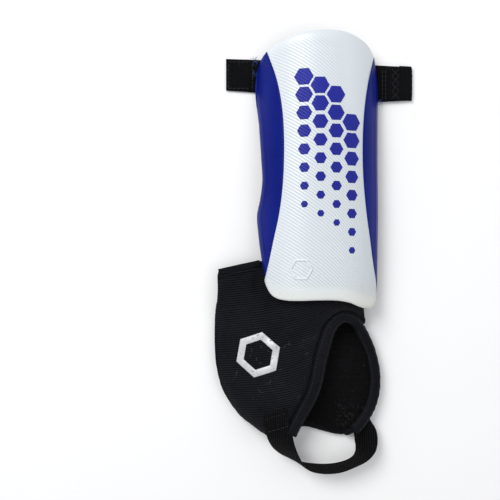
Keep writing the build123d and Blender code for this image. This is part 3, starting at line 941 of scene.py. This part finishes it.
def build_heel_lining():
    """Brushed lining seen through the instep opening, with pills of fluff low on the outer side."""
    path = smooth_path(BINDING_PATH, 60)
    inner = np.concatenate([path, np.array([(17, -198.4), (4, -195.8), (-10, -192.4)])])

    def upper(x, y):
        ridges = 0.22 * np.sin((y - 0.12 * x) / 0.62)
        swell = 0.5 * np.sin(x / 6.5 + y / 14) + 0.35 * np.sin(y / 7.2 - x / 11)
        return HEEL_LINING_TOP + swell + ridges

    layer = outline_slab(inner, [], upper, level_face(HEEL_LINING_LOW), 0.8)
    lining = make_mesh("heel_inner_lining", *layer)
    # The lining_fabric look is darkened as painted shade for the inside of the opening.
    finish_piece(lining, "lining_fabric")
    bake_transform(lining)

    pills = []
    for _ in range(150):
        x = random.uniform(14, 37)
        y = random.uniform(-195, -172 - 0.4 * (x - 14))
        pills.append(fibre(x, y, 6.1, random.uniform(1.0, 2.4), 0.07))
    finish_piece(make_mesh("lining_pills", *join(pills)), "loop_tape", "ankle")


def fibre(x, y, z, length, radius):
    """One loose curling fibre that starts at a point."""
    turn = random.uniform(0, 2 * math.pi)
    curl = random.uniform(-3.0, 3.0)
    run = []
    for t in np.linspace(0, 1, 7):
        angle = turn + curl * t
        run.append((x + length * t * math.cos(angle), y + length * t * math.sin(angle),
                    z + 0.4 * length * math.sin(math.pi * t)))
    return thread(run, radius, 4)


def side_of(path):
    """Unit plan vectors to the left of a line at each of its points."""
    ahead = np.gradient(path[:, :2], axis=0)
    ahead /= np.linalg.norm(ahead, axis=1)[:, None]
    return np.stack([-ahead[:, 1], ahead[:, 0]], 1)


def rounded_section(half_width, half_height, sides=20, power=2.6):
    """Points of a rounded flat section, as (across, up)."""
    points = []
    for k in range(sides):
        angle = 2 * math.pi * k / sides
        c = math.cos(angle)
        s = math.sin(angle)
        points.append((half_width * math.copysign(abs(c) ** (2 / power), c),
                       half_height * math.copysign(abs(s) ** (2 / power), s)))
    return points


def flat_tube(name, path, sections, middles):
    """Rounded flat tube along a plan line, with a section and a middle height at each point."""
    rings = []
    for (x, y), side, section, middle in zip(path, side_of(path), sections, middles):
        rings.append([(x + a * side[0], y + a * side[1], middle + up) for a, up in section])
    return make_mesh(name, *tube_mesh(rings))


def binding_line():
    """The binding's plan line, the direction across it, and its width."""
    path = smooth_path(BINDING_PATH, BINDING_STEPS)
    width = smooth_curve(BINDING_WIDTHS)(np.linspace(0, 1, BINDING_STEPS))
    return path, side_of(path), width


def build_binding():
    """Elastic binding round the opening, wider on the outer limb, gathered a little along its length."""
    path, _, width = binding_line()
    sections = []
    for k in range(BINDING_STEPS):
        gather = 1 + 0.03 * math.sin(k * 0.9) + 0.02 * math.sin(k * 0.37)
        sections.append(rounded_section(width[k] / 2 * gather, 3.2, 24, 2.2))
    binding = flat_tube("opening_edge_binding", path, sections, [layer_middle(x, y) for x, y in path])
    finish_piece(binding, "binding_tape", replaces=["opening_binding"])
    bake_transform(binding)


def build_binding_stitches():
    """Zigzag overlock on the inner side and a run of lockstitch on the outer side."""
    path, sides, width = binding_line()
    zigzag = []
    for k in range(4, BINDING_STEPS - 4):
        x, y = path[k]
        inner = -width[k] / 2 * (0.98 if k % 2 else 0.55)
        lift = 1.5 if k % 2 else 3.06
        zigzag.append((x + inner * sides[k][0], y + inner * sides[k][1], layer_middle(x, y) + lift))
    parts = [thread(zigzag, 0.22, 5)]
    for k in range(6, BINDING_STEPS - 6, 3):
        run = []
        for t in (0.0, 0.5, 1.0, 1.5, 2.0):
            x = np.interp(k + t, np.arange(BINDING_STEPS), path[:, 0])
            y = np.interp(k + t, np.arange(BINDING_STEPS), path[:, 1])
            outer = width[k] / 2 * 0.62
            lift = 2.7 + 0.12 * math.sin(math.pi * t / 2)
            run.append((x + outer * sides[k][0], y + outer * sides[k][1], layer_middle(x, y) + lift))
        parts.append(thread(run, 0.2, 5))
    stitches = make_mesh("binding_stitches", *join(parts))
    finish_piece(stitches, "thread")
    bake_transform(stitches)


def build_heel_binding():
    """Binding along the back layer's lower edge."""
    path = smooth_path(HEEL_PATH, 90)
    sections = [rounded_section(2.6 + 0.08 * math.sin(k * 0.8), 2.45) for k in range(len(path))]
    binding = flat_tube("heel_edge_binding", path, sections, [HEEL_BINDING_Z] * len(path))
    finish_piece(binding, "binding_tape", "ankle", ["heel_binding"])


def build_badge(sleeve_height):
    """Plain hexagon ring on the lobe."""
    badge = hexagon_frame("hexagon_badge", BADGE_CENTRE, BADGE_RADIUS, BADGE_RIM, BADGE_TURN, sleeve_height,
                          0.4, 1.0)
    finish_piece(badge, "badge_silver", "ankle", ["ankle_badge"])


def build_hem():
    """Turned hem along the sleeve's upper left edge, with its lockstitch."""
    path = smooth_path(HEM_PATH, 80)
    sides = side_of(path)
    hem = flat_tube("sleeve_hem", path, [rounded_section(2.3, 1.0)] * len(path), [HEM_Z] * len(path))
    finish_piece(hem, "binding_tape", "guard", ["hem_tape"])
    parts = []
    for k in range(2, len(path) - 4, 4):
        run = [(x - 3.6 * sides[k][0], y - 3.6 * sides[k][1], 10.35) for x, y in path[k:k + 3]]
        parts.append(thread(run, 0.15, 5))
    finish_piece(make_mesh("hem_lockstitch", *join(parts)), "thread", "guard", ["hem_stitches"])


# ================= strap =================

def band_mesh(name, centres, across, normals, widths, thickness, columns, relief, both_faces=False):
    """Flat woven band: centre line, direction across it, and outward direction at each point."""
    shares = np.linspace(-0.5, 0.5, columns)
    upper, lower = [], []
    for k in range(len(centres)):
        for j, share in enumerate(shares):
            edge = 1 - (2 * abs(share)) ** 6
            half = thickness / 2 * (0.45 + 0.55 * edge)
            bump = relief(k, share)
            point = centres[k] + share * widths[k] * across[k]
            upper.append(point + (half + bump) * normals[k])
            lower.append(point - (half + (bump if both_faces else 0.0)) * normals[k])
    return make_mesh(name, np.array(upper + lower), block_faces(len(centres), columns))


def strap_line(points, steps):
    """Centre line of a run of strap in the XZ plane, with its outward normals."""
    line = smooth_path(points, steps)
    ahead = np.gradient(line, axis=0)
    ahead /= np.linalg.norm(ahead, axis=1)[:, None]
    return line, np.stack([-ahead[:, 1], ahead[:, 0]], 1)


def strap_piece(name, line, normals, y_of, width_of, relief):
    """Run of strap along a line in the XZ plane."""
    centres = np.array([(x, y_of(x), z) for x, z in line])
    across = np.array([(0.0, 1.0, 0.0)] * len(line))
    outward = np.array([(nx, 0.0, nz) for nx, nz in normals])
    widths = [width_of(x) for x, _ in line]
    return band_mesh(name, centres, across, outward, widths, STRAP_THICKNESS * 0.93, 16, relief)


def build_strap():
    """Strap out to its fold, then back under the guard to its free end."""
    def out_centre(x):
        return 63.6 - 0.056 * (70 - x)

    def back_centre(x):
        return 63.6 + 0.0495 * (70 - x)

    def width(x):
        return 25.6 if x > 40 else 24.3 + 0.4 * math.sin(x / 9)

    def elastic_relief(k, share):
        return 0.06 * math.sin(share * 60) + 0.05 * math.sin(k * 1.1)

    out_line, out_normals = strap_line([(39, 3.7), (43, 3.1), (48, 2.65), (58, 2.55), (66, 2.55)], 90)
    out = strap_piece("strap_outer_run", out_line, out_normals, out_centre, width, elastic_relief)
    finish_piece(out, "elastic", replaces=["strap_base"])
    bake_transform(out)

    turn = [(FOLD_X + FOLD_RADIUS * math.sin(a), 1.65 + FOLD_RADIUS * math.cos(a))
            for a in np.linspace(0, math.pi, 12)]
    back_points = [(62, 2.55), (66, 2.55)] + turn + [(66, 0.75), (58, 0.75)]
    fold_line, fold_normals = strap_line(back_points, 120)
    fold = strap_piece("strap_fold", fold_line, fold_normals, back_centre, width, elastic_relief)
    finish_piece(fold, "elastic")
    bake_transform(fold)

    tail_points = [(61, 0.75), (30, 0.78), (0, 0.75), (-30, 0.80), (-46, 1.25), (-55, 1.3),
                   (STRAP_END_X, 1.3)]
    tail_line, tail_normals = strap_line(tail_points, 260)

    def tail_relief(k, share):
        near_end = max(0.0, (k - 215) / 45)
        mottle = 0.16 * math.sin(k * 2.3 + share * 31) * math.sin(share * 47 + k * 0.7)
        return 0.06 * math.sin(k * 1.1) + near_end * mottle

    tail = strap_piece("strap_inner_run", tail_line, -tail_normals, back_centre, width, tail_relief)
    finish_piece(tail, "elastic", "strap_tail", ["strap_tail"])
    build_hooks(back_centre)


def build_hooks(centre):
    """Hook tape under the strap's free end: a thin base with rows of small hooks."""
    middle = centre(-58)
    grid = box_grid(-68.5, -47.5, middle - 11, middle + 11, np.linspace(middle - 12, middle + 12, 3), 3)
    base = slab("hook_base", grid, level_face(0.58), level_face(0.34))
    parts = [(points_of(base), [tuple(f.vertices) for f in base.data.polygons])]
    bpy.data.objects.remove(base)
    for x in np.arange(-67.8, -48, HOOK_PITCH):
        for y in np.arange(middle - 10.3, middle + 10.4, HOOK_PITCH):
            hook = [(x, y, 0.36), (x, y, 0.12), (x + 0.12, y, 0.05), (x + 0.3, y, 0.10)]
            parts.append(thread(hook, 0.09, 4))
    hooks = make_mesh("hook_tape_patch", *join(parts))
    finish_piece(hooks, "hook_tape", "strap_tail", ["hook_patch"])


def strap_row(a, b, z, pitch=3.2, length=2.2, radius=0.22):
    """Row of lockstitches between two plan points."""
    a, b = np.array(a, float), np.array(b, float)
    ahead = (b - a) / np.linalg.norm(b - a)
    parts = []
    for start in np.arange(0, np.linalg.norm(b - a) - length, pitch):
        run = [np.append(a + ahead * (start + length * t), z + 0.15 * math.sin(math.pi * t))
               for t in (0, 0.25, 0.5, 0.75, 1)]
        parts.append(thread(run, radius, 5))
    return parts


def build_strap_stitches():
    """Two rows and a line of crosses near the anchor, and a square at the free end."""
    top = 3.3
    near = strap_row((49, 51.5), (49, 73.5), top) + strap_row((51.4, 51.5), (51.4, 73.5), top)
    diamonds = []
    for k in range(4):
        low = 52 + 5.6 * k
        diamonds += strap_row((56, low), (61.6, low + 5.6), top, 1.9, 1.5)
        diamonds += strap_row((61.6, low), (56, low + 5.6), top, 1.9, 1.5)
    base = make_mesh("strap_base_lockstitch", *join(near + diamonds))
    finish_piece(base, "thread", "strap_base", ["strap_base_stitches"])
    rows = [((-67, 60), (-49, 60)), ((-67, 80), (-49, 80)), ((-67, 60), (-67, 80)), ((-49, 60), (-49, 80))]
    square = [stitch for a, b in rows for stitch in strap_row(a, b, 2.0)]
    finish_piece(make_mesh("strap_end_lockstitch", *join(square)), "thread", "strap_tail", ["hook_stitches"])


def build_anchor():
    """Folded end of the strap, sewn under the outer rim."""
    grid = box_grid(36.5, 45.0, 51.4, 77, np.linspace(51, 78, 60), 16)
    anchor = slab("strap_anchor_tab", grid, lambda x, y: 7.0 - 0.0402 * y - 0.1 + 0.08 * np.sin(y * 4),
                  lambda x, y: 1.9 + 0.05 * np.sin(y * 4))
    finish_piece(anchor, "elastic", "guard", ["strap_anchor"])


# ================= stirrup =================

def build_stirrup(sleeve_height):
    """Webbing that leaves the lobe flat, stands on edge under the foot, and lies down to the outer limb."""
    def seat(x, y):
        """Height of the webbing's middle where it lies on the lobe."""
        return max(sleeve_height(x + 0.95 * s, y + 0.3 * s) for s in (-8, -4, 0, 4, 8)) + 0.75

    tab_z = [seat(-33.2, -180.6), seat(-31.4, -188.6), seat(-29.5, -196.0)]
    stations = [
        ((-33.2, -180.6, tab_z[0]), (0.95, 0.30, 0), 18.5),
        ((-31.4, -188.6, tab_z[1]), (0.95, 0.28, 0), 18.5),
        ((-29.5, -196.6, tab_z[2]), (0.98, 0.15, 0.02), 18.5),
        ((-27.0, -204.6, 17.2), (0.94, 0.12, 0.32), 18.0),
        ((-22.7, -211.8, 14.6), (0.70, 0.20, 0.68), 18.0),
        ((-17.2, -217.8, 12.0), (0.30, 0.20, 0.93), 18.5),
        ((-10.7, -222.4, 10.3), (0.08, 0.09, 0.99), 18.5),
        ((-3.0, -224.6, 10.0), (-0.03, -0.02, 1.0), 18.5),
        ((7.0, -225.3, 9.8), (-0.06, -0.06, 0.99), 18.5),
        ((17.0, -224.0, 9.6), (-0.02, -0.07, 0.99), 18.2),
        ((26.5, -220.4, 9.2), (0.18, 0.0, 0.98), 17.8),
        ((32.2, -216.0, 8.5), (0.50, 0.03, 0.86), 17.5),
        ((35.5, -210.2, 7.4), (0.78, 0.05, 0.60), 17.5),
        ((36.1, -204.0, 6.6), (0.92, 0.13, 0.34), 17.5),
        ((35.2, -198.0, 6.8), (0.96, 0.20, 0.14), 16.5),
        ((33.8, -192.6, 6.8), (0.96, 0.24, 0.06), 13.0),
        ((32.4, -187.0, 6.4), (0.97, 0.20, 0.0), 10.5),
    ]
    steps = 240
    centres = smooth_path([s[0] for s in stations], steps)
    across = smooth_path([s[1] for s in stations], steps)
    widths = smooth_path([(s[2],) for s in stations], steps)[:, 0]
    ahead = np.gradient(centres, axis=0)
    ahead /= np.linalg.norm(ahead, axis=1)[:, None]
    across -= (across * ahead).sum(1)[:, None] * ahead
    across /= np.linalg.norm(across, axis=1)[:, None]
    normals = np.cross(ahead, across)

    def webbing_relief(k, share):
        return 0.14 * math.cos(share * 2 * math.pi * WEBBING_RIBS)

    webbing = band_mesh("stirrup_loop", centres, across, normals, widths, WEBBING_THICKNESS, 90,
                        webbing_relief, True)
    finish_piece(webbing, "webbing", replaces=["stirrup_webbing", "stirrup_tab_inner", "stirrup_tab_outer"])
    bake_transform(webbing)
    parts = strap_row((-39.8, -185.3), (-25.2, -180.9), tab_z[0] + 0.70)
    parts += strap_row((-37.6, -194.3), (-23.2, -190.1), tab_z[1] + 0.60)
    finish_piece(make_mesh("stirrup_tab_lockstitch", *join(parts)), "thread", "ankle")


def build_fluff(sleeve_height):
    """Blue fibres at the shell's two rims, frayed webbing at the tab, and pale lint on the sleeve."""
    clusters = [("frayed_fibres", "strap_tail", [(-47.5, 80.5, 2.5, 12), (-47.2, 70.0, 2.5, 8)]),
                ("frayed_rim_fibres", "guard", [(46.5, 49.5, 3.6, 9)])]
    for name, body, places in clusters:
        blue = []
        for cx, cy, z, count in places:
            for _ in range(count):
                blue.append(fibre(cx + random.uniform(-1.2, 1.2), cy + random.uniform(-1.5, 1.5), z,
                                  random.uniform(1.6, 3.2), 0.09))
        finish_piece(make_mesh(name, *join(blue)), "elastic", body, look="blue_fluff")

    frayed = []
    for _ in range(70):
        x, y = random.uniform(-41.5, -24.5), -170.0 + random.uniform(-0.8, 0.6)
        y += 0.31 * x
        frayed.append(fibre(x, y, sleeve_height(x, y) + 0.9, random.uniform(0.8, 1.8), 0.10))
    finish_piece(make_mesh("frayed_tab_edge", *join(frayed)), "webbing", "ankle")

    lint = []
    for _ in range(22):
        x, y = random.uniform(-62, -8), random.uniform(-170, -124)
        lint.append(fibre(x, y, sleeve_height(x, y) + 0.15, random.uniform(2.0, 6.0), 0.045))
    finish_piece(make_mesh("sleeve_lint", *join(lint)), "thread", "ankle", look="pale_lint")


# ================= stage =================

def build_stage():
    """Pale floor, soft light from above, and the camera straight over the guard."""
    h = FLOOR_HALF
    corners = [(-h, -h, FLOOR_Z), (h, -h, FLOOR_Z), (h, h, FLOOR_Z), (-h, h, FLOOR_Z)]
    floor = make_mesh("floor", corners, [(0, 1, 2, 3)])
    look = Look("pale_floor")
    look.set(Roughness=0.9, Specular_IOR_Level=0.1)
    shade = look.ramp(look.noise(6, 2), [(0.3, (0.93, 0.93, 0.93)), (0.8, (0.95, 0.95, 0.95))])
    look.link(shade, "Base Color")
    floor.data.materials.append(look.material)
    remember_place(floor)

    scene = bpy.context.scene
    world = bpy.data.worlds.new("studio")
    world.use_nodes = True
    sky = world.node_tree.nodes["Background"]
    sky.inputs["Color"].default_value = SKY_COLOUR
    sky.inputs["Strength"].default_value = SKY_STRENGTH
    scene.world = world
    scene.view_settings.view_transform = "Standard"

    for name, (place, size, power) in LIGHTS.items():
        light = bpy.data.lights.new(name, "AREA")
        light.size = size
        light.energy = power
        lamp = bpy.data.objects.new(name, light)
        lamp.location = place
        lamp.rotation_euler = (Vector(LIT_POINT) - Vector(place)).to_track_quat("-Z", "Y").to_euler()
        scene.collection.objects.link(lamp)

    camera = bpy.data.objects.new("camera", bpy.data.cameras.new("camera"))
    camera.data.sensor_width = 36.0
    camera.data.lens = CAMERA_LENS
    camera.location = CAMERA_PLACE
    scene.collection.objects.link(camera)
    scene.camera = camera


build_stage()
build_front_plate()
build_wing("inner_wing_skin", left_side, inner_border, "side_wing_inner", True, True)
build_wing("outer_wing_skin", outer_border, right_side, "side_wing_outer", False, False)
build_honeycomb()
build_emblem()
build_backing()
build_loop_patch()
sleeve_height = build_sleeve()
build_heel_lining()
build_binding()
build_binding_stitches()
build_heel_binding()
build_badge(sleeve_height)
build_hem()
build_strap()
build_strap_stitches()
build_anchor()
build_stirrup(sleeve_height)
build_fluff(sleeve_height)
